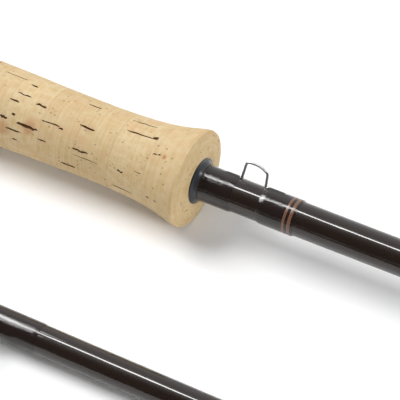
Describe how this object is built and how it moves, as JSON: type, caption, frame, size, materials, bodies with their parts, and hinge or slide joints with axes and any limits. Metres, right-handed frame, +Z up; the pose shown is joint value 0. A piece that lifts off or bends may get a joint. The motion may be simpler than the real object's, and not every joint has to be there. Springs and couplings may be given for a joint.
{
  "type": "fly fishing rod and reel",
  "caption": "Fly rod taken down into its sections beside each other, with cork grip, hook keeper, guides and a reel on an up-locking seat",
  "frame": {"origin": "centre of the base of the whole layout, on the table that the sections and the reel lie on", "axes": "+X along every section towards its thin end, +Y from the loose sections towards the reel, +Z up"},
  "size_m": [0.727, 0.3356, 0.049],
  "materials": {
    "carbon_blank": "clear-coated dark brown carbon",
    "thread_wraps": "thread under glossy epoxy",
    "copper_thread": "copper metallic thread under epoxy",
    "cork": "sanded natural cork",
    "black_rubber": "moulded rubber",
    "black_anodised": "satin black anodised",
    "slate_check": "dark slate, glossy",
    "seat_core": "glued filler",
    "steel_wire": "hard chromed wire",
    "ceramic_liner": "polished grey ceramic",
    "frame_metal": "gunmetal anodised",
    "spool_metal": "gunmetal anodised",
    "steel": "machined stainless steel",
    "drag_alloy": "machined and anodised",
    "drag_carbon": "carbon fibre friction disc",
    "knob_plastic": "satin moulded plastic"
  },
  "bodies": {
    "handle_and_frame": {"butt_cap": "black_rubber", "fighting_butt": "cork", "butt_end_ring": "black_anodised", "seat_barrel": "black_anodised", "seat_arbor": "seat_core", "fixed_hood": "black_anodised", "cork_grip": "cork", "winding_check": "slate_check", "butt_blank": "carbon_blank", "butt_wraps": "thread_wraps", "trim_bands": "copper_thread", "hook_keeper": "steel_wire", "reel_foot": "black_anodised", "foot_screws": "steel", "reel_frame": "frame_metal", "spindle": "steel", "drag_disc": "drag_carbon", "drag_cover": "drag_alloy", "thrust_washer": "steel", "retaining_ring": "steel", "drag_springs": "steel"},
    "drag_knob": {"drag_knob": "drag_alloy"},
    "drag_nut": {"drag_nut": "steel"},
    "drag_rotor": {"drag_rotor": "drag_alloy", "wear_plate": "steel"},
    "spool": {"spool": "spool_metal", "one_way_clutch": "steel", "spool_bearing": "steel", "spool_cap": "frame_metal", "latch_spring": "steel", "counterweight": "frame_metal", "handle_post": "steel"},
    "spool_latch": {"spool_latch": "steel"},
    "handle_knob": {"handle_knob": "knob_plastic"},
    "sliding_hood": {"sliding_hood": "black_anodised"},
    "lock_nut": {"lock_nut": "black_anodised"},
    "jam_nut": {"jam_nut": "black_anodised"},
    "section_2": {"blank_2": "carbon_blank", "wraps_2": "thread_wraps", "large_stripping_guide": "steel_wire", "small_stripping_guide": "steel_wire", "guide_ring_liners": "ceramic_liner"},
    "section_3": {"blank_3": "carbon_blank", "wraps_3": "thread_wraps", "snake_guides_3": "steel_wire"},
    "section_4": {"blank_4": "carbon_blank", "wraps_4": "thread_wraps", "snake_guides_4": "steel_wire", "tip_top": "steel_wire"}
  },
  "joints": [
    {"name": "drag_knob_turn", "type": "hinge", "parent": "handle_and_frame", "child": "drag_knob", "pos_m": [-0.2295, 0.1168, 0.0036], "axis": [0, 0, 1], "range_deg": [0, 330]},
    {"name": "drag_nut_travel", "type": "slide", "parent": "drag_knob", "child": "drag_nut", "axis": [0, 0, 1], "range_m": [0, 0.0006875], "deforming": ["drag_springs"]},
    {"name": "rotor_spin", "type": "hinge", "parent": "handle_and_frame", "child": "drag_rotor", "pos_m": [-0.2295, 0.1168, 0.013], "axis": [0, 0, 1], "continuous": true},
    {"name": "spool_spin", "type": "hinge", "parent": "drag_rotor", "child": "spool", "pos_m": [-0.2295, 0.1168, 0.02], "axis": [0, 0, 1], "continuous": true},
    {"name": "latch_slide", "type": "slide", "parent": "spool", "child": "spool_latch", "axis": [-1, 0, 0], "range_m": [0, 0.0012], "stiffness_N_per_m": 300, "springref_m": -0.0012, "deforming": ["latch_spring"]},
    {"name": "handle_spin", "type": "hinge", "parent": "spool", "child": "handle_knob", "pos_m": [-0.1915, 0.1168, 0.038], "axis": [0, 0, 1], "continuous": true},
    {"name": "hood_slide", "type": "slide", "parent": "handle_and_frame", "child": "sliding_hood", "axis": [-1, 0, 0], "range_m": [0, 0.012]},
    {"name": "lock_nut_spin", "type": "hinge", "parent": "sliding_hood", "child": "lock_nut", "pos_m": [-0.2692, 0.0463, 0.0155], "axis": [-1, 0, 0], "range_deg": [0, 2880]},
    {"name": "jam_nut_spin", "type": "hinge", "parent": "sliding_hood", "child": "jam_nut", "pos_m": [-0.277, 0.0463, 0.0155], "axis": [-1, 0, 0], "range_deg": [0, 2880]},
    {"name": "section_2_lift", "type": "slide", "parent": "handle_and_frame", "child": "section_2", "axis": [0, 0, 1], "range_m": [0, 0.15]},
    {"name": "section_3_lift", "type": "slide", "parent": "handle_and_frame", "child": "section_3", "axis": [0, 0, 1], "range_m": [0, 0.15]},
    {"name": "section_4_lift", "type": "slide", "parent": "handle_and_frame", "child": "section_4", "axis": [0, 0, 1], "range_m": [0, 0.15]}
  ],
  "couplings": [
    {"joint": "drag_nut_travel", "follows": "drag_knob_turn", "m_per_rad": 0.00011937},
    {"joint": "lock_nut_spin", "follows": "hood_slide", "rad_per_m": 4188.8},
    {"joint": "jam_nut_spin", "follows": "hood_slide", "rad_per_m": 4188.8}
  ]
}
